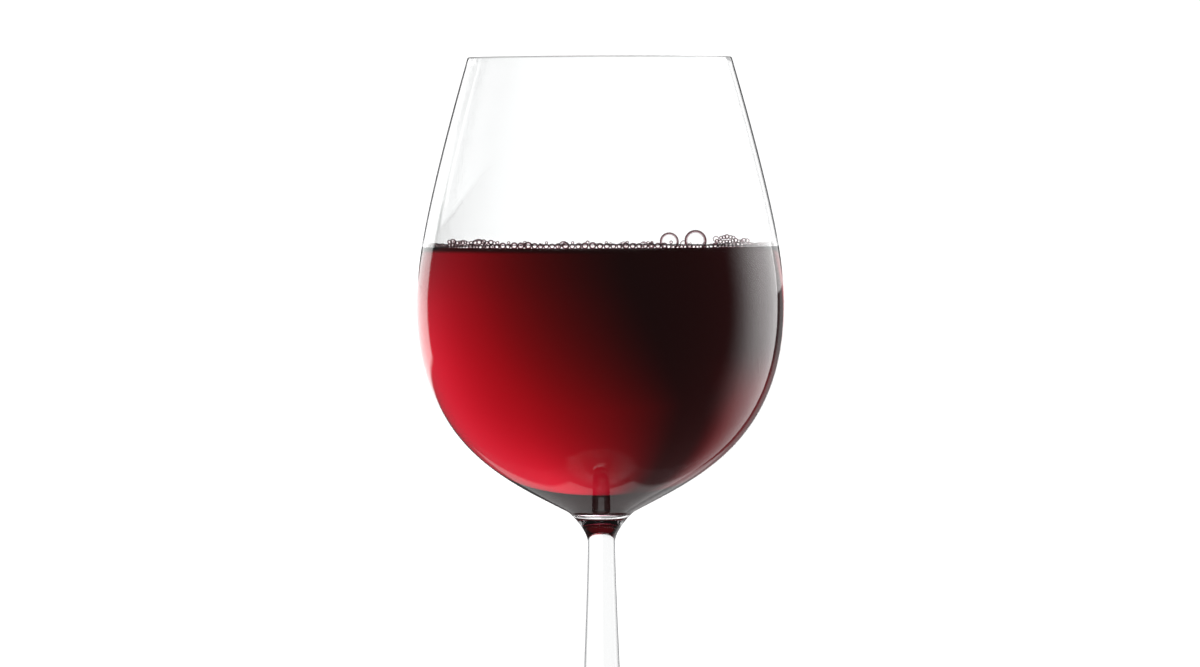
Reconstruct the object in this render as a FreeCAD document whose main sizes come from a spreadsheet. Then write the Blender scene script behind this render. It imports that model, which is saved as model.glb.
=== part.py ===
"""A stemmed glass of red wine: one turned glass, and the wine that stands in its bowl.

Millimetres and degrees. The origin is the middle of the foot's underside, and +Z runs up
the stem. Each outline is half of a section, drawn in the XZ plane and turned about Z.
"""
import FreeCAD, Part
import math
import os

import Sketcher

SIZES = {
    # the whole glass
    "total_height": 225,
    "bowl_height": 116.8,
    # rim
    "rim_diameter": 68,
    "rim_wall": 1.0,
    "rim_lean": 16.1,
    "rim_pull": 46.1,
    # bowl: its widest point, and how far the curves beside it keep to their tangents
    "bowl_diameter": 95,
    "belly_height": 53.2,
    "belly_wall": 1.3,
    "belly_pull_up": 6.3,
    "belly_pull_down": 36,
    "cone_slope": 27,
    "cone_pull": 16.8,
    "cone_wall": 2.4,
    # neck and stem
    "neck_diameter": 17.5,
    "neck_depth": 7.7,
    "neck_pull_top": 1.5,
    "neck_pull_bottom": 2.7,
    "waist_diameter": 7.1,
    "stem_root_diameter": 12.4,
    "stem_root_height": 26,
    "stem_taper": 1.9,
    "stem_pull_top": 9.8,
    "stem_pull_bottom": 44.7,
    # foot
    "foot_diameter": 80,
    "foot_edge": 2.4,
    "foot_slope": 7,
    "foot_hollow": 1.4,
    "rest_ring": 5,
    "flare_diameter": 44,
    "flare_pull_top": 15,
    "flare_pull_bottom": 12,
    # wine
    "fill_height": 67.8,
}

LEVEL_AXIS, UPRIGHT_AXIS = -1, -2
START, END, CENTRE = 1, 2, 3
ON_AXIS = "0"
ON_GROUND = "0"


# ------------------------------------------------ points, as expressions on the sheet

def step(point, length, angle):
    """The point a length away from another one, at an angle above the level."""
    across, up = point
    return f"{across} + {length} * cos({angle})", f"{up} + {length} * sin({angle})"


def above(point, length):
    """The point that lies a length straight above another one, or below it."""
    across, up = point
    return across, f"{up} + {length}"


FOOT_EDGE_RADIUS = "Sizes.foot_edge / 2"
FOOT_EDGE_ACROSS = f"Sizes.foot_diameter / 2 - {FOOT_EDGE_RADIUS}"
FOOT_EDGE_CENTRE = (FOOT_EDGE_ACROSS, FOOT_EDGE_RADIUS)
FOOT_EDGE_TOP = step(FOOT_EDGE_CENTRE, FOOT_EDGE_RADIUS, "(90 - Sizes.foot_slope)")
FOOT_EDGE_BOTTOM = (FOOT_EDGE_ACROSS, ON_GROUND)
REST_RING_INSIDE = (f"{FOOT_EDGE_ACROSS} - Sizes.rest_ring", ON_GROUND)
HOLLOW_TOP = (ON_AXIS, "Sizes.foot_hollow")
FLARE_RADIUS = "Sizes.flare_diameter / 2"
FLARE_RISE = f"({FOOT_EDGE_TOP[0]} - {FLARE_RADIUS}) * tan(Sizes.foot_slope)"
FLARE_END = (FLARE_RADIUS, f"{FOOT_EDGE_TOP[1]} + {FLARE_RISE}")

BOWL_FLOOR = "Sizes.total_height - Sizes.bowl_height"
STEM_ROOT = ("Sizes.stem_root_diameter / 2", "Sizes.stem_root_height")
WAIST = ("Sizes.waist_diameter / 2", f"{BOWL_FLOOR} - Sizes.neck_depth")
NECK_TOP = ("Sizes.neck_diameter / 2", BOWL_FLOOR)
BELLY = ("Sizes.bowl_diameter / 2", f"{BOWL_FLOOR} + Sizes.belly_height")
RIM_CENTRE_HEIGHT = "Sizes.total_height - Sizes.rim_wall / 2"
RIM_OUTSIDE = (
    "Sizes.rim_diameter / 2",
    f"{RIM_CENTRE_HEIGHT} + Sizes.rim_wall / 2 * sin(Sizes.rim_lean)",
)

RIM_INSIDE = step(RIM_OUTSIDE, "Sizes.rim_wall", "(180 + Sizes.rim_lean)")
BELLY_INSIDE = (f"{BELLY[0]} - Sizes.belly_wall", BELLY[1])
CONE_INSIDE = step(NECK_TOP, "Sizes.cone_wall", "(90 + Sizes.cone_slope)")
CAVITY_SAG = f"({CONE_INSIDE[0]}) * tan(Sizes.cone_slope / 2)"
CAVITY_BOTTOM = (ON_AXIS, f"{CONE_INSIDE[1]} - {CAVITY_SAG}")
WINE_LEVEL = f"{BOWL_FLOOR} + Sizes.fill_height"


# ------------------------------------------------ the spans of an outline

def line(end):
    """A straight span to its end."""
    return {"draw": draw_line, "end": end}


def arc(end, turn, centre_across=None, centre_up=None):
    """A round span to its end: turn is 1 anticlockwise, and one side of its centre is given."""
    return {"draw": draw_arc, "end": end, "turn": turn, "centre": (centre_across, centre_up)}


def curve(leave, arrive, end):
    """A cubic span to its end: it leaves towards one point and arrives from another."""
    return {"draw": draw_curve, "end": end, "aims": (leave, arrive)}


def place(sheet, point):
    """A point's place in the sketch, worked out from the sheet."""
    across, up = (float(sheet.evalExpression(side)) for side in point)
    return FreeCAD.Vector(across, up, 0)


def pin(sheet, sketch, geometry, position, point):
    """Bind the sides of one point of the sketch that are given."""
    sides = (("DistanceX", UPRIGHT_AXIS, point[0]), ("DistanceY", LEVEL_AXIS, point[1]))
    for kind, axis, side in sides:
        if side is None:
            continue
        if side in (ON_AXIS, ON_GROUND):
            sketch.addConstraint(Sketcher.Constraint("PointOnObject", geometry, position, axis))
            continue
        value = float(sheet.evalExpression(side))
        rule = Sketcher.Constraint(kind, LEVEL_AXIS, START, geometry, position, value)
        index = sketch.addConstraint(rule)
        sketch.setExpression(f"Constraints[{index}]", side)


def draw_line(sheet, sketch, start, span):
    """Draw a straight span: its geometry, and which of its points are its ends."""
    shape = Part.LineSegment(place(sheet, start), place(sheet, span["end"]))
    return sketch.addGeometry(shape, False), START, END


def draw_arc(sheet, sketch, start, span):
    """Draw a round span; a sketch's arcs all run anticlockwise, so its ends may swap."""
    first, last = place(sheet, start), place(sheet, span["end"])
    across, up = span["centre"]
    middle, way = (first + last) / 2, last - first
    if up is None:
        x = float(sheet.evalExpression(across))
        y = middle.y - (x - middle.x) * way.x / way.y
    else:
        y = float(sheet.evalExpression(up))
        x = middle.x - (y - middle.y) * way.y / way.x
    centre = FreeCAD.Vector(x, y, 0)
    if span["turn"] < 0:
        first, last = last, first
    angles = [math.atan2(point.y - y, point.x - x) for point in (first, last)]
    circle = Part.Circle(centre, FreeCAD.Vector(0, 0, 1), centre.distanceToPoint(first))
    geometry = sketch.addGeometry(Part.ArcOfCircle(circle, *angles), False)
    pin(sheet, sketch, geometry, CENTRE, span["centre"])
    return (geometry, START, END) if span["turn"] > 0 else (geometry, END, START)


def draw_curve(sheet, sketch, start, span):
    """Draw a cubic span, with the two points that it aims at bound as its inner poles."""
    poles = [place(sheet, point) for point in (start, *span["aims"], span["end"])]
    shape = Part.BSplineCurve()
    shape.buildFromPolesMultsKnots(poles, [4, 4], [0, 1], False, 3)
    geometry = sketch.addGeometry(shape, False)
    sketch.exposeInternalGeometry(geometry)
    first_pole = geometry + 1
    for number, aim in enumerate(span["aims"], 1):
        pin(sheet, sketch, first_pole + number, CENTRE, aim)
    return geometry, START, END


def outline(sheet, body, name, start, spans):
    """A closed sketch in the XZ plane: each span runs from where the last one ended."""
    sketch = body.newObject("Sketcher::SketchObject", name)
    plane = next(item for item in body.Origin.OriginFeatures if item.Role == "XZ_Plane")
    sketch.AttachmentSupport = [(plane, "")]
    sketch.MapMode = "FlatFace"
    tails, heads = [], []
    for span in spans:
        geometry, tail, head = span["draw"](sheet, sketch, start, span)
        pin(sheet, sketch, geometry, head, span["end"])
        tails.append((geometry, tail))
        heads.append((geometry, head))
        start = span["end"]
    for tail, head in zip(tails[1:] + tails[:1], heads):
        sketch.addConstraint(Sketcher.Constraint("Coincident", *head, *tail))
    return sketch


def turned(body, kind, name, sketch):
    """A full turn of a sketch about the glass's axis, added to a body or cut from it."""
    feature = body.newObject(kind, name)
    feature.Profile = sketch
    feature.ReferenceAxis = (sketch, ["V_Axis"])
    feature.Angle = 360
    return feature


# ------------------------------------------------ the two outlines

def foot_and_stem():
    """The spans from the hollow under the foot, round its edge and up to the bowl's floor."""
    return [
        arc(REST_RING_INSIDE, turn=-1, centre_across=ON_AXIS),
        line(FOOT_EDGE_BOTTOM),
        arc(FOOT_EDGE_TOP, turn=1, centre_across=FOOT_EDGE_ACROSS),
        line(FLARE_END),
        curve(
            step(FLARE_END, "Sizes.flare_pull_bottom", "(180 - Sizes.foot_slope)"),
            step(STEM_ROOT, "Sizes.flare_pull_top", "(Sizes.stem_taper - 90)"),
            STEM_ROOT,
        ),
        curve(
            step(STEM_ROOT, "Sizes.stem_pull_bottom", "(90 + Sizes.stem_taper)"),
            above(WAIST, "-1 * Sizes.stem_pull_top"),
            WAIST,
        ),
        curve(
            above(WAIST, "Sizes.neck_pull_bottom"),
            step(NECK_TOP, "Sizes.neck_pull_top", "(180 + Sizes.cone_slope)"),
            NECK_TOP,
        ),
    ]


def bowl_outside():
    """The spans up the outside of the bowl and over the rounded rim."""
    return [
        curve(
            step(NECK_TOP, "Sizes.cone_pull", "Sizes.cone_slope"),
            above(BELLY, "-1 * Sizes.belly_pull_down"),
            BELLY,
        ),
        curve(
            above(BELLY, "Sizes.belly_pull_up"),
            step(RIM_OUTSIDE, "Sizes.rim_pull", "(Sizes.rim_lean - 90)"),
            RIM_OUTSIDE,
        ),
        arc(RIM_INSIDE, turn=1, centre_up=RIM_CENTRE_HEIGHT),
    ]


def bowl_inside():
    """The spans down the inside of the bowl, from the rim to the middle of its floor."""
    return [
        curve(
            step(RIM_INSIDE, "Sizes.rim_pull", "(Sizes.rim_lean - 90)"),
            above(BELLY_INSIDE, "Sizes.belly_pull_up"),
            BELLY_INSIDE,
        ),
        curve(
            above(BELLY_INSIDE, "-1 * Sizes.belly_pull_down"),
            step(CONE_INSIDE, "Sizes.cone_pull", "Sizes.cone_slope"),
            CONE_INSIDE,
        ),
        arc(CAVITY_BOTTOM, turn=-1, centre_across=ON_AXIS),
    ]


# ------------------------------------------------ the two pieces

def make_sheet(doc):
    """The spreadsheet that holds the driving dimensions."""
    sheet = doc.addObject("Spreadsheet::Sheet", "Sizes")
    for row, (name, value) in enumerate(SIZES.items(), 1):
        sheet.set(f"A{row}", str(value))
        sheet.setAlias(f"A{row}", name)
    doc.recompute()
    return sheet


def make_glass(doc, sheet):
    """The glass, foot to rim, as one turned solid with the bowl's hollow in it."""
    body = doc.addObject("PartDesign::Body", "Glass")
    body.Label = "glass"
    spans = foot_and_stem() + bowl_outside() + bowl_inside() + [line(HOLLOW_TOP)]
    section = outline(sheet, body, "GlassSection", HOLLOW_TOP, spans)
    turned(body, "PartDesign::Revolution", "GlassTurned", section)
    return body


def make_wine(doc, sheet):
    """The wine: the bowl's hollow, with all that stands above the wine's level cut off."""
    body = doc.addObject("PartDesign::Body", "Wine")
    body.Label = "wine"
    mouth = (ON_AXIS, RIM_INSIDE[1])
    spans = [line(RIM_INSIDE)] + bowl_inside() + [line(mouth)]
    section = outline(sheet, body, "HollowSection", mouth, spans)
    hollow = turned(body, "PartDesign::Revolution", "HollowTurned", section)

    middle = (ON_AXIS, WINE_LEVEL)
    over_wine = [
        line((BELLY[0], WINE_LEVEL)),
        line((BELLY[0], "Sizes.total_height")),
        line((ON_AXIS, "Sizes.total_height")),
        line(middle),
    ]
    air = outline(sheet, body, "AirSection", middle, over_wine)
    surface = turned(body, "PartDesign::Groove", "WineSurface", air)
    doc.recompute()
    if surface.Shape.Volume >= hollow.Shape.Volume:
        raise RuntimeError("the cut at the wine's level took nothing away")
    return body


def check(doc, bodies):
    """Stop before anything is written if a feature failed or a solid isn't sound."""
    for item in doc.Objects:
        if "Invalid" in item.State or "Error" in item.State:
            raise RuntimeError(f"{item.Name} failed: {item.State}")
        if item.isDerivedFrom("Sketcher::SketchObject") and item.solve() != 0:
            raise RuntimeError(f"{item.Name} can't be solved")
    for body in bodies:
        shape = body.Shape
        if shape.isNull() or not shape.isValid() or len(shape.Solids) != 1:
            raise RuntimeError(f"{body.Label} isn't one sound solid")


def main():
    """Build both pieces and write each one's STEP file."""
    doc = FreeCAD.newDocument("WineGlass")
    sheet = make_sheet(doc)
    bodies = [make_glass(doc, sheet), make_wine(doc, sheet)]
    for body in bodies:
        body.Placement = FreeCAD.Placement()
    doc.recompute()
    check(doc, bodies)
    os.makedirs("parts", exist_ok=True)
    for body in bodies:
        body.Shape.exportStep(f"parts/{body.Label}.step")
        print(body.Label, "volume", round(body.Shape.Volume, 1), "mm3")


main()
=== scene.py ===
import math
import random

import bpy
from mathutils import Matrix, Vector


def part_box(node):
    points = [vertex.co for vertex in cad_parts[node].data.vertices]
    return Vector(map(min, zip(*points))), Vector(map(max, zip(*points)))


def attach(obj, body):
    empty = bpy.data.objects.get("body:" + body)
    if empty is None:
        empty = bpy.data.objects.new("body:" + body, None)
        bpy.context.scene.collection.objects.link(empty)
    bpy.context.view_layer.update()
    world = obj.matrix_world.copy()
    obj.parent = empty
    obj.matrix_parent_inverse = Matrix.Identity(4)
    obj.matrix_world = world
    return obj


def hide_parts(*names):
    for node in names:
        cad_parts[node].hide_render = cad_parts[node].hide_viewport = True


# A stemmed glass of red wine on a pale floor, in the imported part's own frame. Lengths are in metres and
# angles in degrees, and -Y is the near side.

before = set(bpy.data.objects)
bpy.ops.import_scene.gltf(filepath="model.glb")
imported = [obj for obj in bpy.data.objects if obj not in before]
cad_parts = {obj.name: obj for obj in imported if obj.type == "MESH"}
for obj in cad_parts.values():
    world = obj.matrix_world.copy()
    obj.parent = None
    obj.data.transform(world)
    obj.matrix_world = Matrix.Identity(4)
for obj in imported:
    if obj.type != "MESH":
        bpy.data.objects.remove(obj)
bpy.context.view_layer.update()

# ---------------------------------------------------------------- sizes

MM = 0.001
GLASS_LOW, GLASS_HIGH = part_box("glass")

HEIGHT = GLASS_HIGH.z
BOWL_RADIUS = -GLASS_LOW.x
BOWL_HEIGHT = 116.8 * MM
BOWL_FLOOR = HEIGHT - BOWL_HEIGHT
WINE_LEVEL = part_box("wine")[1].z

# the bowl, from its rim down to its neck: a pull is how far a curve's handle reaches from its end
RIM_RADIUS = 34 * MM
RIM_WALL = 1.0 * MM
RIM_LEAN = 16.1
RIM_PULL = 46.1 * MM
BELLY_HEIGHT = 53.2 * MM
BELLY_WALL = 1.3 * MM
BELLY_PULL_UP = 6.3 * MM
BELLY_PULL_DOWN = 36 * MM
CONE_SLOPE = 27
CONE_PULL = 16.8 * MM
CONE_WALL = 2.4 * MM
NECK_RADIUS = 8.75 * MM
NECK_DEPTH = 7.7 * MM
NECK_PULL_TOP = 1.5 * MM
NECK_PULL_BOTTOM = 2.7 * MM

# the stem, from its waist down to its root, which is a radius and a height
WAIST_RADIUS = 3.55 * MM
STEM_ROOT = (6.2 * MM, 26 * MM)
STEM_TAPER = 1.9
STEM_PULL_TOP = 9.8 * MM
STEM_PULL_BOTTOM = 44.7 * MM

# the foot, and the flare that joins it to the stem
FOOT_RADIUS = 40 * MM
FOOT_EDGE = 1.2 * MM
FOOT_SLOPE = 7
FOOT_HOLLOW = 1.4 * MM
REST_RING = 5 * MM
FLARE_RADIUS = 22 * MM
FLARE_PULL_TOP = 15 * MM
FLARE_PULL_BOTTOM = 12 * MM

# the wine reaches into the wall, so that no air shows between them, and climbs a little at its edge
INTO_WALL = 0.15 * MM
CLIMB = 0.25 * MM
CLIMB_REACH = 2.5 * MM
CLIMB_PULL_EDGE = (0.1 * CLIMB_REACH, 0.25 * CLIMB)
CLIMB_PULL_LEVEL = 0.35 * CLIMB_REACH

# how the sections are turned
STEPS_AROUND = 192
SPINDLE_RADIUS = 10 * MM
WELD_DISTANCE = 0.002 * MM
HALVINGS = 50

# wetted is what faces the axis, or faces up near it, from a little over the bowl's corner to the wine's edge
WET_OVER_FLOOR = 0.2 * MM
FACES_UP_WITHIN = 20 * MM


# ---------------------------------------------------------------- section curves

def step(point, length, angle):
    """The point a length away from another one, at an angle above the level."""
    turn = math.radians(angle)
    return point[0] + length * math.cos(turn), point[1] + length * math.sin(turn)


def curve(start, leave, arrive, end, steps):
    """A cubic span: the four points that shape it, and how many steps its mesh has."""
    return [([start, leave, arrive, end], steps)]


def line(start, end, steps=1):
    """A straight span, as a cubic one."""
    third = [start[i] + (end[i] - start[i]) / 3 for i in (0, 1)]
    two_thirds = [start[i] + (end[i] - start[i]) * 2 / 3 for i in (0, 1)]
    return curve(start, third, two_thirds, end, steps)


def arc(centre, radius, first, last, steps):
    """A round stretch between two angles, as cubic spans of a quarter turn or less."""
    count = math.ceil(abs(last - first) / 90)
    turn = (last - first) / count
    reach = radius * 4 / 3 * math.tan(math.radians(turn) / 4)
    spans = []
    for number in range(count):
        before, after = first + number * turn, first + (number + 1) * turn
        start, end = step(centre, radius, before), step(centre, radius, after)
        leave = step(start, reach, before + 90)
        arrive = step(end, reach, after - 90)
        spans += curve(start, leave, arrive, end, steps)
    return spans


def split(points, share):
    """A cubic span cut in two at a share of its run."""
    left, right, row = [points[0]], [points[-1]], points
    while len(row) > 1:
        row = [tuple(a[i] + (b[i] - a[i]) * share for i in (0, 1)) for a, b in zip(row, row[1:])]
        left.append(row[0])
        right.append(row[-1])
    return left, right[::-1]


def share_at_height(points, height):
    """How far along its run a span that only rises or only falls passes a height."""
    low, high = 0.0, 1.0
    rises = points[-1][1] > points[0][1]
    for _ in range(HALVINGS):
        middle = (low + high) / 2
        reached = split(points, middle)[0][-1][1]
        low, high = (middle, high) if (reached < height) == rises else (low, middle)
    return (low + high) / 2


# ---------------------------------------------------------------- outlines

def foot_and_stem():
    """From the middle of the foot's hollow, round its edge and up the stem to the bowl."""
    edge_centre = (FOOT_RADIUS - FOOT_EDGE, FOOT_EDGE)
    edge_top = step(edge_centre, FOOT_EDGE, 90 - FOOT_SLOPE)
    ring_outside = (edge_centre[0], 0.0)
    ring_inside = (edge_centre[0] - REST_RING, 0.0)
    hollow_top = (0.0, FOOT_HOLLOW)
    hollow_slope = math.degrees(math.atan(2 * FOOT_HOLLOW / ring_inside[0]))
    hollow_pull = ring_inside[0] / 3
    flare_rise = (edge_top[0] - FLARE_RADIUS) * math.tan(math.radians(FOOT_SLOPE))
    flare_end = (FLARE_RADIUS, edge_top[1] + flare_rise)
    waist = (WAIST_RADIUS, BOWL_FLOOR - NECK_DEPTH)
    neck_top = (NECK_RADIUS, BOWL_FLOOR)
    return (
        curve(hollow_top, (hollow_pull, FOOT_HOLLOW),
              step(ring_inside, hollow_pull, 180 - hollow_slope), ring_inside, steps=10)
        + line(ring_inside, ring_outside)
        + arc(edge_centre, FOOT_EDGE, -90, 90 - FOOT_SLOPE, steps=8)
        + line(edge_top, flare_end, steps=4)
        + curve(flare_end, step(flare_end, FLARE_PULL_BOTTOM, 180 - FOOT_SLOPE),
                step(STEM_ROOT, FLARE_PULL_TOP, STEM_TAPER - 90), STEM_ROOT, steps=32)
        + curve(STEM_ROOT, step(STEM_ROOT, STEM_PULL_BOTTOM, 90 + STEM_TAPER),
                (waist[0], waist[1] - STEM_PULL_TOP), waist, steps=40)
        + curve(waist, (waist[0], waist[1] + NECK_PULL_BOTTOM),
                step(neck_top, NECK_PULL_TOP, 180 + CONE_SLOPE), neck_top, steps=28)
    )


def bowl_wall(rim, belly, cone):
    """The two spans of a bowl wall, from its rim down to the end of its cone."""
    over_belly = (belly[0], belly[1] + BELLY_PULL_UP)
    under_belly = (belly[0], belly[1] - BELLY_PULL_DOWN)
    upper = curve(rim, step(rim, RIM_PULL, RIM_LEAN - 90), over_belly, belly, steps=64)
    lower = curve(belly, under_belly, step(cone, CONE_PULL, CONE_SLOPE), cone, steps=72)
    return upper + lower


def reverse(spans):
    """The same spans, run the other way."""
    return [(points[::-1], steps) for points, steps in reversed(spans)]


def rim_outside():
    """The point where the outside of the wall runs into the rounded rim."""
    return RIM_RADIUS, HEIGHT - RIM_WALL / 2 * (1 - math.sin(math.radians(RIM_LEAN)))


def bowl_inside(thinner=0.0):
    """The inside of the bowl, from its rim to the middle of its floor, for a thinner wall."""
    rim = step(rim_outside(), RIM_WALL - thinner, 180 + RIM_LEAN)
    belly = (BOWL_RADIUS - BELLY_WALL + thinner, BOWL_FLOOR + BELLY_HEIGHT)
    cone = step((NECK_RADIUS, BOWL_FLOOR), CONE_WALL - thinner, 90 + CONE_SLOPE)
    floor_radius = cone[0] / math.sin(math.radians(CONE_SLOPE))
    floor_centre = (0.0, cone[1] + floor_radius * math.cos(math.radians(CONE_SLOPE)))
    floor = arc(floor_centre, floor_radius, CONE_SLOPE - 90, -90, steps=16)
    return bowl_wall(rim, belly, cone) + floor


def cut_at(spans, height):
    """A falling run of spans, cut in two at a height."""
    points, steps = spans[0]
    above, below = split(points, share_at_height(points, height))
    upper = round(steps * (above[0][1] - above[-1][1]) / (points[0][1] - points[-1][1]))
    return [(above, upper)], [(below, steps - upper)] + spans[1:]


def glass_outline():
    """The whole section of the glass, in one closed run from foot to rim and down inside."""
    top = rim_outside()
    rim_centre = step(top, RIM_WALL / 2, 180 + RIM_LEAN)
    rounded_rim = arc(rim_centre, RIM_WALL / 2, RIM_LEAN, RIM_LEAN + 180, steps=8)
    outside = bowl_wall(top, (BOWL_RADIUS, BOWL_FLOOR + BELLY_HEIGHT), (NECK_RADIUS, BOWL_FLOOR))
    dry, wet = cut_at(bowl_inside(), WINE_LEVEL + CLIMB)
    return foot_and_stem() + reverse(outside) + rounded_rim + dry + wet


def wine_outline():
    """The wine's section: up the wall from the floor, then down its climbing edge to the level."""
    wet = cut_at(bowl_inside(INTO_WALL), WINE_LEVEL + CLIMB)[1]
    edge = wet[0][0][0]
    level = (edge[0] - CLIMB_REACH, WINE_LEVEL)
    under_edge = (edge[0] - CLIMB_PULL_EDGE[0], WINE_LEVEL + CLIMB_PULL_EDGE[1])
    beside_edge = (edge[0] - CLIMB_PULL_LEVEL, WINE_LEVEL)
    climb = curve(edge, under_edge, beside_edge, level, steps=20)
    return reverse(wet) + climb + line(level, (0.0, WINE_LEVEL), steps=6)


# ---------------------------------------------------------------- node trees

# where a Mix node keeps its colours, among the sockets of its other kinds
FIRST_COLOUR = 6
SECOND_COLOUR = 7
MIXED_COLOUR = 2


class Tree:
    """A node tree to add nodes to, where every input is given a plain value or another node's socket."""

    def __init__(self, tree):
        self.tree = tree

    def node(self, kind, inputs=None, **settings):
        """A new node, with its settings made and its inputs fed."""
        node = self.tree.nodes.new(kind)
        for name, value in settings.items():
            setattr(node, name, value)
        for name, value in (inputs or {}).items():
            self.feed(node.inputs[name], value)
        return node

    def feed(self, socket, value):
        """Give a socket its number, or join it to another socket."""
        if isinstance(value, bpy.types.NodeSocket):
            self.tree.links.new(value, socket)
        else:
            socket.default_value = value

    def maths(self, operation, *values):
        """The result of one sum."""
        return self.node("ShaderNodeMath", dict(enumerate(values)), operation=operation).outputs[0]

    def ramp(self, value, low, high, first=0.0, last=1.0, kind="SMOOTHSTEP"):
        """A number that goes from first to last while a value goes from low to high."""
        inputs = {"Value": value, "From Min": low, "From Max": high, "To Min": first, "To Max": last}
        return self.node("ShaderNodeMapRange", inputs, interpolation_type=kind).outputs[0]

    def blend(self, share, first, second):
        """A colour between two others."""
        mix = self.node("ShaderNodeMix", data_type="RGBA")
        self.feed(mix.inputs["Factor"], share)
        self.feed(mix.inputs[FIRST_COLOUR], (*first, 1.0))
        self.feed(mix.inputs[SECOND_COLOUR], (*second, 1.0))
        return mix.outputs[MIXED_COLOUR]


def geometry_group(name, inputs, output):
    """An empty Geometry Nodes tree with its named inputs and its one output."""
    group = bpy.data.node_groups.new(name, "GeometryNodeTree")
    for label, kind in inputs.items():
        group.interface.new_socket(label, in_out="INPUT", socket_type="NodeSocket" + kind)
    group.interface.new_socket(output, in_out="OUTPUT", socket_type="NodeSocketGeometry")
    return group


def turning_tree():
    """Geometry Nodes that turn a half section about the Z axis, weld it, and give it two finishes."""
    inputs = {
        "Section": "Geometry",
        "Steps around": "Int",
        "Spindle radius": "Float",
        "Weld distance": "Float",
        "Finish": "Material",
        "Wetted finish": "Material",
        "Wet from": "Float",
        "Wet to": "Float",
        "Faces up within": "Float",
    }
    group = geometry_group("Turned section", inputs, "Turned piece")
    tree = Tree(group)
    given = tree.node("NodeGroupInput").outputs
    inwards = tree.maths("MULTIPLY", given["Spindle radius"], -1.0)
    shift = tree.node("ShaderNodeCombineXYZ", {"X": inwards}).outputs[0]
    section = tree.node(
        "GeometryNodeTransform",
        {"Geometry": given["Section"], "Translation": shift, "Scale": (1.0, -1.0, 1.0)},
    )
    circle = tree.node(
        "GeometryNodeCurvePrimitiveCircle",
        {"Resolution": given["Steps around"], "Radius": given["Spindle radius"]},
    )
    upright = tree.node("GeometryNodeSetCurveNormal", {"Curve": circle.outputs[0]}, mode="Z_UP")
    turned = tree.node(
        "GeometryNodeCurveToMesh",
        {"Curve": upright.outputs[0], "Profile Curve": section.outputs[0]},
    )
    welded = tree.node(
        "GeometryNodeMergeByDistance",
        {"Geometry": turned.outputs[0], "Distance": given["Weld distance"]},
    )
    outwards = tree.node("GeometryNodeFlipFaces", {"Mesh": welded.outputs[0]})
    smooth = tree.node("GeometryNodeSetShadeSmooth", {"Geometry": outwards.outputs[0]})
    real = tree.node("GeometryNodeRealizeInstances", {"Geometry": smooth.outputs[0]})
    dry = tree.node(
        "GeometryNodeSetMaterial",
        {"Geometry": real.outputs[0], "Material": given["Finish"]},
    )
    place = tree.node("GeometryNodeInputPosition").outputs[0]
    place = tree.node("ShaderNodeSeparateXYZ", {"Vector": place}).outputs
    facing = tree.node("GeometryNodeInputNormal").outputs[0]
    facing = tree.node("ShaderNodeSeparateXYZ", {"Vector": facing}).outputs
    outward = tree.maths("MULTIPLY", place["X"], facing["X"])
    outward = tree.maths("ADD", outward, tree.maths("MULTIPLY", place["Y"], facing["Y"]))
    upward = tree.maths("MULTIPLY", facing["Z"], given["Faces up within"])
    faces_in = tree.maths("LESS_THAN", tree.maths("SUBTRACT", outward, upward), 0.0)
    in_bowl = tree.maths("GREATER_THAN", place["Z"], given["Wet from"])
    in_wine = tree.maths("LESS_THAN", place["Z"], given["Wet to"])
    wet = tree.maths("MULTIPLY", faces_in, tree.maths("MULTIPLY", in_bowl, in_wine))
    finished = tree.node(
        "GeometryNodeSetMaterial",
        {"Geometry": dry.outputs[0], "Selection": wet, "Material": given["Wetted finish"]},
    )
    tree.node("NodeGroupOutput", {"Turned piece": finished.outputs[0]})
    return group


def section_object(name, spans):
    """A curve object that holds a half section: X is across from the axis and Y is up."""
    data = bpy.data.curves.new(name, "CURVE")
    data.dimensions = "3D"
    for points, steps in spans:
        spline = data.splines.new("BEZIER")
        spline.bezier_points.add(1)
        spline.resolution_u = steps
        start, leave, arrive, end = points
        ends = ((start, start, leave), (arrive, end, end))
        for knot, (before, at, after) in zip(spline.bezier_points, ends):
            knot.handle_left_type = knot.handle_right_type = "FREE"
            knot.handle_left = (*before, 0.0)
            knot.co = (*at, 0.0)
            knot.handle_right = (*after, 0.0)
    item = bpy.data.objects.new(name, data)
    bpy.context.scene.collection.objects.link(item)
    return item


def run_nodes(item, group, values, name):
    """Put a node group on an object, set its named inputs, and keep the result as a mesh."""
    modifier = item.modifiers.new(group.name, "NODES")
    modifier.node_group = group
    for socket in group.interface.items_tree:
        if socket.item_type == "SOCKET" and socket.in_out == "INPUT" and socket.name in values:
            modifier[socket.identifier] = values[socket.name]
    bpy.context.view_layer.update()
    shaped = item.evaluated_get(bpy.context.evaluated_depsgraph_get())
    mesh = bpy.data.meshes.new_from_object(shaped)
    mesh.name = name
    bpy.data.objects.remove(item)
    piece = bpy.data.objects.new(name, mesh)
    bpy.context.scene.collection.objects.link(piece)
    return piece


def turned(name, spans, group, finish, wetted=None):
    """A piece turned from its section, with a second finish where wine wets it."""
    values = {
        "Steps around": STEPS_AROUND,
        "Spindle radius": SPINDLE_RADIUS,
        "Weld distance": WELD_DISTANCE,
        "Finish": finish,
        "Wetted finish": wetted or finish,
        "Wet from": BOWL_FLOOR + WET_OVER_FLOOR,
        "Wet to": WINE_LEVEL + CLIMB,
        "Faces up within": FACES_UP_WITHIN,
    }
    return run_nodes(section_object(name + "_section", spans), group, values, name)


# ---------------------------------------------------------------- finishes

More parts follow.
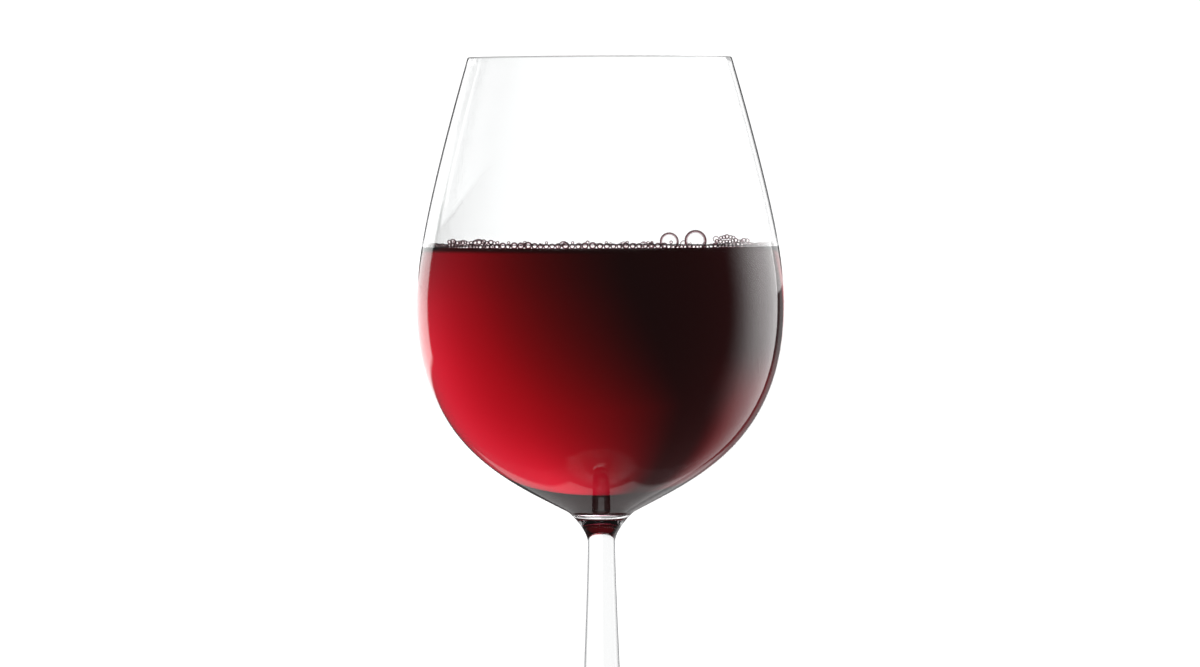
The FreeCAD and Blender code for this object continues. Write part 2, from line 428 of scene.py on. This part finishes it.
BLACK = (0.0, 0.0, 0.0)
WHITE = (1.0, 1.0, 1.0)
GLASS_IOR = 1.5
GLASS_COLOUR = (0.985, 0.99, 0.99)
# a dark grey painted into the clear glass where it is seen edge on: painted shade for the dark edges that
# bent and mirrored light gives glass
EDGE_PAINTED_SHADE = (0.06, 0.06, 0.065)
WINE_IOR = 1.345
WINE_DEPTH_COLOUR = (0.63, 0.13, 0.29)
WINE_DENSITY = 150.0
# a bubble's skin is painted a dark wine red where it is seen edge on: painted shade for its dark rims
FILM_CLEAR = (1.0, 0.99, 0.99)
FILM_RIM_PAINTED_SHADE = (0.26, 0.04, 0.08)
FILM_ROUGHNESS = 0.05
FILM_GLOSS = 0.3

# the painted shade comes in above the foot, goes out across the neck, and comes in again over the wine
STEM_PAINTED_SHADE_FROM = (5 * MM, 25 * MM)
NECK_CHANGE = (BOWL_FLOOR - 4 * MM, BOWL_FLOOR + 4 * MM)
BOWL_PAINTED_SHADE_FROM = (WINE_LEVEL - 1 * MM, WINE_LEVEL + 3 * MM)
# painted shade on the top of the rim: a ring of the edge grey at half strength, the same from every side
RIM_PAINTED_SHADE_FROM = (HEIGHT - 0.6 * MM, HEIGHT - 0.2 * MM)
RIM_PAINTED_SHADE = 0.5
# how far edge on the painted shade starts and is full, on the stem and on the bowl: 0 is square on and 1
# edge on
PAINTED_SHADE_STARTS = (0.35, 0.74)
PAINTED_SHADE_FULL = (0.65, 0.89)


def clear_material(name, colour, ior, specular_tint):
    """A clear stuff that light passes through."""
    material = bpy.data.materials.new(name)
    material.use_nodes = True
    surface = material.node_tree.nodes["Principled BSDF"]
    surface.inputs["Base Color"].default_value = (*colour, 1.0)
    surface.inputs["Roughness"].default_value = 0.0
    surface.inputs["IOR"].default_value = ior
    surface.inputs["Transmission Weight"].default_value = 1.0
    surface.inputs["Specular Tint"].default_value = (*specular_tint, 1.0)
    return material


def wine_material():
    """Red wine: clear at the surface, with its colour in its depth."""
    material = clear_material("red_wine", WHITE, WINE_IOR, BLACK)
    nodes = material.node_tree.nodes
    depth = nodes.new("ShaderNodeVolumeAbsorption")
    depth.inputs["Color"].default_value = (*WINE_DEPTH_COLOUR, 1.0)
    depth.inputs["Density"].default_value = WINE_DENSITY
    material.node_tree.links.new(depth.outputs[0], nodes["Material Output"].inputs["Volume"])
    return material


def edge_on(tree, start, full):
    """How far a surface is seen edge on: nothing up to the start and one where it is full."""
    facing = tree.node("ShaderNodeLayerWeight", {"Blend": 0.5}).outputs["Facing"]
    return tree.ramp(facing, start, full)


def paint_shade_on_glass(material):
    """Paint shade into the glass's colour where it is seen edge on, broadly on the stem and finely over the
    wine.

    The top of the rim has painted shade, half grey from every side.
    """
    tree = Tree(material.node_tree)
    place = tree.node("ShaderNodeTexCoord").outputs["Object"]
    height = tree.node("ShaderNodeSeparateXYZ", {"Vector": place}).outputs["Z"]

    def by_height(between, first, last):
        """A number that changes between two heights."""
        return tree.ramp(height, *between, first, last, kind="LINEAR")

    on_stem = tree.maths("MULTIPLY", by_height(STEM_PAINTED_SHADE_FROM, 0.0, 1.0), by_height(NECK_CHANGE, 1.0, 0.0))
    share = tree.maths("ADD", on_stem, by_height(BOWL_PAINTED_SHADE_FROM, 0.0, 1.0))
    # painted shade where the glass is seen edge on, starting sooner on the stem than on the bowl
    painted_shade = edge_on(tree, by_height(NECK_CHANGE, *PAINTED_SHADE_STARTS), by_height(NECK_CHANGE, *PAINTED_SHADE_FULL))
    painted_shade = tree.maths("MULTIPLY", painted_shade, share)
    # painted shade on the top of the rim, the same from every side
    painted_shade = tree.maths("MAXIMUM", painted_shade, by_height(RIM_PAINTED_SHADE_FROM, 0.0, RIM_PAINTED_SHADE))
    surface = material.node_tree.nodes["Principled BSDF"]
    tree.feed(surface.inputs["Base Color"], tree.blend(painted_shade, GLASS_COLOUR, EDGE_PAINTED_SHADE))


def film_material(name, start, full):
    """A bubble's skin: clear seen square on, and a dark wine red seen edge on that is painted shade for its
    rims, with a little gloss.
    """
    material = bpy.data.materials.new(name)
    material.use_nodes = True
    material.node_tree.nodes.clear()
    tree = Tree(material.node_tree)
    rim_shade = tree.blend(edge_on(tree, start, full), FILM_CLEAR, FILM_RIM_PAINTED_SHADE)
    seen_through = tree.node("ShaderNodeBsdfTransparent", {"Color": rim_shade})
    gloss = tree.node("ShaderNodeBsdfGlossy", {"Roughness": FILM_ROUGHNESS})
    mirrors = tree.node("ShaderNodeFresnel", {"IOR": WINE_IOR}).outputs[0]
    film = tree.node("ShaderNodeMixShader", {"Fac": tree.maths("MULTIPLY", mirrors, FILM_GLOSS)})
    tree.feed(film.inputs[1], seen_through.outputs[0])
    tree.feed(film.inputs[2], gloss.outputs[0])
    tree.node("ShaderNodeOutputMaterial", {"Surface": film.outputs[0]})
    return material


CLEAR_GLASS = clear_material("clear_glass", GLASS_COLOUR, GLASS_IOR, WHITE)
WETTED_GLASS = clear_material("wetted_glass", WHITE, GLASS_IOR, BLACK)
paint_shade_on_glass(CLEAR_GLASS)
RED_WINE = wine_material()
SMALL_FILM = film_material("small_bubble_film", start=0.05, full=0.4)
LARGE_FILM = film_material("large_bubble_film", start=0.25, full=0.7)

# ---------------------------------------------------------------- bubbles

# how much of its own radius a bubble's middle lies over the lift of its row
FLOATS = 0.8


def bubble_tree():
    """Geometry Nodes that put a ball on every point, with the point's own size as its radius."""
    inputs = {
        "Places": "Geometry",
        "Segments": "Int",
        "Rings": "Int",
        "Height share": "Float",
        "Finish": "Material",
    }
    group = geometry_group("Floating bubbles", inputs, "Bubbles")
    tree = Tree(group)
    given = tree.node("NodeGroupInput").outputs
    ball = tree.node(
        "GeometryNodeMeshUVSphere",
        {"Segments": given["Segments"], "Rings": given["Rings"], "Radius": 1.0},
    )
    size = tree.node("GeometryNodeInputNamedAttribute", {"Name": "size"}, data_type="FLOAT").outputs[0]
    height = tree.maths("MULTIPLY", size, given["Height share"])
    size = tree.node("ShaderNodeCombineXYZ", {"X": size, "Y": size, "Z": height}).outputs[0]
    placed = tree.node(
        "GeometryNodeInstanceOnPoints",
        {"Points": given["Places"], "Instance": ball.outputs[0], "Scale": size},
    )
    real = tree.node("GeometryNodeRealizeInstances", {"Geometry": placed.outputs[0]})
    smooth = tree.node("GeometryNodeSetShadeSmooth", {"Geometry": real.outputs[0]})
    finished = tree.node(
        "GeometryNodeSetMaterial",
        {"Geometry": smooth.outputs[0], "Material": given["Finish"]},
    )
    tree.node("NodeGroupOutput", {"Bubbles": finished.outputs[0]})
    return group


def inside_radius(height):
    """How far the inside of the wall is from the axis at a height over the belly."""
    points = bowl_inside()[0][0]
    return split(points, share_at_height(points, height))[0][-1][0]


def beside_wall(bearing, size, lift):
    """A bubble that touches the wall: its place and radius. Bearing 0 is the near side, 90 the right."""
    height = WINE_LEVEL + lift
    reach = inside_radius(height) - size
    turn = math.radians(bearing)
    return reach * math.sin(turn), -reach * math.cos(turn), height, size


def bubble_row(seed, smallest, largest, first, last, lift, spread=0.0, gap=0.0):
    """Bubbles side by side along the wall between two bearings, at a lift over the wine's level.

    Most are near the smallest size. A spread lifts each by up to that much more, and a gap leaves up to
    that much between two.
    """
    draw = random.Random(seed)
    bubbles, bearing, before = [], first, 0.0
    while bearing < last:
        size = smallest + (largest - smallest) * draw.random() ** 2
        reach = inside_radius(WINE_LEVEL) - size
        bearing += math.degrees((before + size + gap * draw.random()) / reach)
        bubbles.append(beside_wall(bearing, size, lift + FLOATS * size + spread * draw.random()))
        before = size
    return bubbles


def bubble_piece(name, bubbles, group, finish, segments, rings, height_share):
    """One mesh of bubbles, each a ball of so many segments and rings that may be less high than wide."""
    mesh = bpy.data.meshes.new(name)
    mesh.from_pydata([bubble[:3] for bubble in bubbles], [], [])
    sizes = mesh.attributes.new("size", "FLOAT", "POINT")
    sizes.data.foreach_set("value", [bubble[3] for bubble in bubbles])
    item = bpy.data.objects.new(name, mesh)
    bpy.context.scene.collection.objects.link(item)
    values = {"Segments": segments, "Rings": rings, "Height share": height_share, "Finish": finish}
    return run_nodes(item, group, values, name)


# seed, smallest and largest radius, first and last bearing, lift
SMALL_BUBBLES = (
    bubble_row(1, 0.75 * MM, 1.1 * MM, -39, 21, 0.1 * MM)
    + bubble_row(2, 0.5 * MM, 0.7 * MM, 22, 40, 0.0)
    + bubble_row(3, 0.4 * MM, 0.55 * MM, -36, 18, 1.3 * MM, gap=6 * MM)
    # the heap on the left
    + bubble_row(4, 0.55 * MM, 0.75 * MM, -78, -39, 0.05 * MM, spread=0.15 * MM)
    + bubble_row(5, 0.5 * MM, 0.75 * MM, -60, -37, 1.0 * MM, spread=0.3 * MM)
    # the heap on the right
    + bubble_row(6, 0.55 * MM, 0.9 * MM, 40, 80, 0.05 * MM, spread=0.2 * MM)
    + bubble_row(7, 0.55 * MM, 0.8 * MM, 41, 57, 1.1 * MM, spread=0.35 * MM)
    + bubble_row(8, 0.5 * MM, 0.65 * MM, 43, 49, 2.2 * MM, spread=0.3 * MM)
    # round the back
    + bubble_row(9, 0.25 * MM, 0.45 * MM, 84, 280, 0.0, gap=4 * MM)
)
LARGE_BUBBLES = [
    beside_wall(*bubble) for bubble in (
        # bearing, radius, lift
        (-45.3, 1.75 * MM, 0.8 * MM),
        (-51.8, 0.9 * MM, 1.4 * MM),
        (-12.2, 1.4 * MM, 0.65 * MM),
        (-7.0, 0.85 * MM, 0.8 * MM),
        (7.7, 0.8 * MM, 1.1 * MM),
        (14.4, 0.96 * MM, 0.95 * MM),
        (24.2, 2.38 * MM, 1.75 * MM),
        (34.9, 2.77 * MM, 1.9 * MM),
        (41.6, 0.77 * MM, 2.35 * MM),
        (150.0, 0.9 * MM, 0.3 * MM),
        (-137.0, 1.0 * MM, 0.3 * MM),
        (-101.0, 0.9 * MM, 0.3 * MM),
    )
]

# ---------------------------------------------------------------- pieces

TURNING = turning_tree()
glass = turned("wine_glass", glass_outline(), TURNING, CLEAR_GLASS, WETTED_GLASS)
wine = turned("red_wine", wine_outline(), TURNING, RED_WINE)
FLOATING = bubble_tree()
froth = bubble_piece("small_bubbles", SMALL_BUBBLES, FLOATING, SMALL_FILM,
                     segments=10, rings=6, height_share=0.95)
bubbles = bubble_piece("large_bubbles", LARGE_BUBBLES, FLOATING, LARGE_FILM,
                       segments=32, rings=16, height_share=1.0)
SLOTS = (
    (glass, "clear_glass"),
    (wine, "red_wine"),
    (froth, "red_wine"),
    (bubbles, "red_wine"),
)
for piece, slot in SLOTS:
    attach(piece, "root")
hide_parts("glass")
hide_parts("wine")

# ---------------------------------------------------------------- floor and light

FLOOR_REACH = 0.6
FLOOR_WHITE = 0.92


def white_floor():
    """A square white floor, hidden from mirrored and bent rays, which see the studio instead."""
    mesh = bpy.data.meshes.new("floor")
    signs = ((-1, -1), (1, -1), (1, 1), (-1, 1))
    corners = [(across * FLOOR_REACH, back * FLOOR_REACH, 0.0) for across, back in signs]
    mesh.from_pydata(corners, [], [(0, 1, 2, 3)])
    floor = bpy.data.objects.new("floor", mesh)
    bpy.context.scene.collection.objects.link(floor)
    material = bpy.data.materials.new("white_floor")
    material.use_nodes = True
    surface = material.node_tree.nodes["Principled BSDF"]
    surface.inputs["Base Color"].default_value = (FLOOR_WHITE, FLOOR_WHITE, FLOOR_WHITE, 1.0)
    surface.inputs["Roughness"].default_value = 1.0
    surface.inputs["Specular IOR Level"].default_value = 0.0
    mesh.materials.append(material)
    floor.visible_glossy = False
    floor.visible_transmission = False


def band(tree, angle, low, high, soft_low, soft_high):
    """One between two angles and nothing outside them, with soft edges."""
    rise = tree.ramp(angle, low - soft_low / 2, low + soft_low / 2)
    fall = tree.ramp(angle, high - soft_high / 2, high + soft_high / 2, 1.0, 0.0)
    return tree.maths("MULTIPLY", rise, fall)


def light_panel(tree, angle, height, across, up, soft, strength):
    """A softbox far away, between two angles across and two heights, each with its softness."""
    sides = band(tree, angle, *across, *soft[0])
    ends = band(tree, height, *up, *soft[1])
    return tree.maths("MULTIPLY", tree.maths("MULTIPLY", sides, ends), strength)


# bearings run clockwise from straight back, and a slanted one shifts with the height, up to a limit
SLANT = 0.6
SLANT_LIMIT = 14.0
# Transmission Depth is 4 for a ray straight through the empty bowl, and 6 or more through the wine
OVER_EMPTY_BOWL = 4.5
# Glossy Depth is 1 or more for a ray that was mirrored
OVER_UNMIRRORED = 0.5
# how bright the room is to the camera, to a ray through the glass on either side, and in a mirrored ray
BACKDROP = 1.15
SEEN_THROUGH_LEFT = 1.05
SEEN_THROUGH_RIGHT = 1.3
SEEN_THROUGH_CHANGE = (-4.0, 0.0)
MIRRORED_ROOM = 0.1

THROUGH_WINE = (
    # bearings along the slant, heights, softness of both, strength
    ((8.8, 100.0), (-6.0, 75.0), ((34.0, 20.0), (36.0, 20.0)), 32.0),
    ((-60.0, -20.0), (12.0, 60.0), ((14.0, 14.0), (14.0, 6.0)), 5.0),
    ((-150.0, -66.0), (-10.0, 75.0), ((20.0, 6.0), (20.0, 20.0)), 26.0),
    ((145.0, 200.0), (-10.0, 75.0), ((20.0, 6.0), (20.0, 20.0)), 26.0),
)
MIRRORED_AT_EDGES = (
    # turns away from straight back, to the left if negative, heights, softness of both, strength
    ((-42.0, 0.0), (-9.0, 0.8), ((3.0, 1.0), (2.0, 0.5)), 1.8),
    ((-42.0, -17.0), (0.8, 9.0), ((3.0, 4.0), (0.5, 1.0)), 1.7),
    ((-50.0, -17.0), (9.0, 55.0), ((10.0, 4.0), (1.0, 1.0)), 1.0),
    ((0.0, 17.0), (-60.0, 0.8), ((1.0, 1.0), (2.0, 0.5)), 1.5),
    ((17.5, 29.0), (-60.0, 0.8), ((1.0, 2.0), (2.0, 0.5)), 0.2),
    ((17.0, 36.0), (0.8, 55.0), ((4.0, 1.0), (0.5, 1.0)), 1.2),
    ((34.6, 77.0), (-20.0, 55.0), ((1.0, 34.0), (50.0, 6.0)), 2.4),
)
MIRRORED = (
    # bearings, heights, softness of both, strength
    ((-20.0, 20.0), (-58.5, -20.0), ((3.0, 3.0), (1.0, 4.0)), 0.45),
    ((-200.0, 200.0), (55.0, 100.0), ((1.0, 1.0), (10.0, 1.0)), 2.5),
)


def angles_of(tree, direction):
    """A direction's bearing, its height over the level, and its turn away from straight back."""
    parts = tree.node("ShaderNodeSeparateXYZ", {"Vector": direction}).outputs
    bearing = tree.maths("DEGREES", tree.maths("ARCTAN2", parts["X"], parts["Y"]))
    height = tree.maths("DEGREES", tree.maths("ARCSINE", parts["Z"]))
    turn = tree.maths("DEGREES", tree.maths("ARCCOSINE", parts["Y"]))
    return bearing, height, tree.maths("MULTIPLY", turn, tree.maths("SIGN", parts["X"]))


def studio_world():
    """A white studio: what shines through the glass, and what is mirrored in it."""
    world = bpy.data.worlds.new("studio")
    world.use_nodes = True
    world.node_tree.nodes.clear()
    tree = Tree(world.node_tree)
    direction = tree.node("ShaderNodeTexCoord").outputs["Generated"]
    bearing, height, turn = angles_of(tree, direction)
    held = tree.maths("MAXIMUM", tree.maths("MINIMUM", height, SLANT_LIMIT), -SLANT_LIMIT)
    slanted = tree.maths("ADD", bearing, tree.maths("MULTIPLY", held, SLANT))
    path = tree.node("ShaderNodeLightPath").outputs

    sides = (SEEN_THROUGH_LEFT, SEEN_THROUGH_RIGHT)
    through = tree.ramp(bearing, *SEEN_THROUGH_CHANGE, *sides, kind="LINEAR")
    through_wine = tree.maths("GREATER_THAN", path["Transmission Depth"], OVER_EMPTY_BOWL)
    for across, up, soft, strength in THROUGH_WINE:
        strength = tree.maths("MULTIPLY", through_wine, strength)
        panel = light_panel(tree, slanted, height, across, up, soft, strength)
        through = tree.maths("ADD", through, panel)

    mirrored = MIRRORED_ROOM
    for angle, panels in ((turn, MIRRORED_AT_EDGES), (bearing, MIRRORED)):
        for panel in panels:
            mirrored = tree.maths("ADD", mirrored, light_panel(tree, angle, height, *panel))

    bounced = tree.maths("GREATER_THAN", path["Glossy Depth"], OVER_UNMIRRORED)
    beyond = tree.node("ShaderNodeMix", {"Factor": bounced, "A": through, "B": mirrored}).outputs[0]
    seen = {"Factor": path["Is Camera Ray"], "A": beyond, "B": BACKDROP}
    strength = tree.node("ShaderNodeMix", seen).outputs[0]
    light = tree.node("ShaderNodeBackground", {"Color": (*WHITE, 1.0), "Strength": strength})
    tree.node("ShaderNodeOutputWorld", {"Surface": light.outputs[0]})
    bpy.context.scene.world = world


white_floor()
studio_world()

# ---------------------------------------------------------------- camera

CAMERA_PLACE = (0.15 * MM, -2.4, 0.197)
CAMERA_AIM = 0.154
CAMERA_LENS = 280.3
CAMERA_SENSOR = 36.0
CAMERA_ROLL = 0.2
CAMERA_SEES_TO = 100.0
MANY_BOUNCES = 32
SOME_BOUNCES = 16


def set_camera():
    """A long lens, a little above the wine's level and square to the glass."""
    data = bpy.data.cameras.new("camera")
    data.lens = CAMERA_LENS
    data.sensor_width = CAMERA_SENSOR
    data.clip_end = CAMERA_SEES_TO
    camera = bpy.data.objects.new("camera", data)
    bpy.context.scene.collection.objects.link(camera)
    camera.location = CAMERA_PLACE
    fall = math.atan2(CAMERA_PLACE[2] - CAMERA_AIM, -CAMERA_PLACE[1])
    turn = math.atan2(CAMERA_PLACE[0], -CAMERA_PLACE[1])
    camera.rotation_euler = (math.pi / 2 - fall, math.radians(CAMERA_ROLL), turn)
    bpy.context.scene.camera = camera


set_camera()
scene = bpy.context.scene
scene.view_settings.view_transform = "Standard"
scene.cycles.max_bounces = MANY_BOUNCES
scene.cycles.transmission_bounces = MANY_BOUNCES
scene.cycles.glossy_bounces = SOME_BOUNCES
# a path is never cut short at random before this many bounces, which keeps the dark wine free of noise
scene.cycles.min_light_bounces = SOME_BOUNCES
scene.cycles.min_transparent_bounces = SOME_BOUNCES
scene.cycles.use_denoising = True
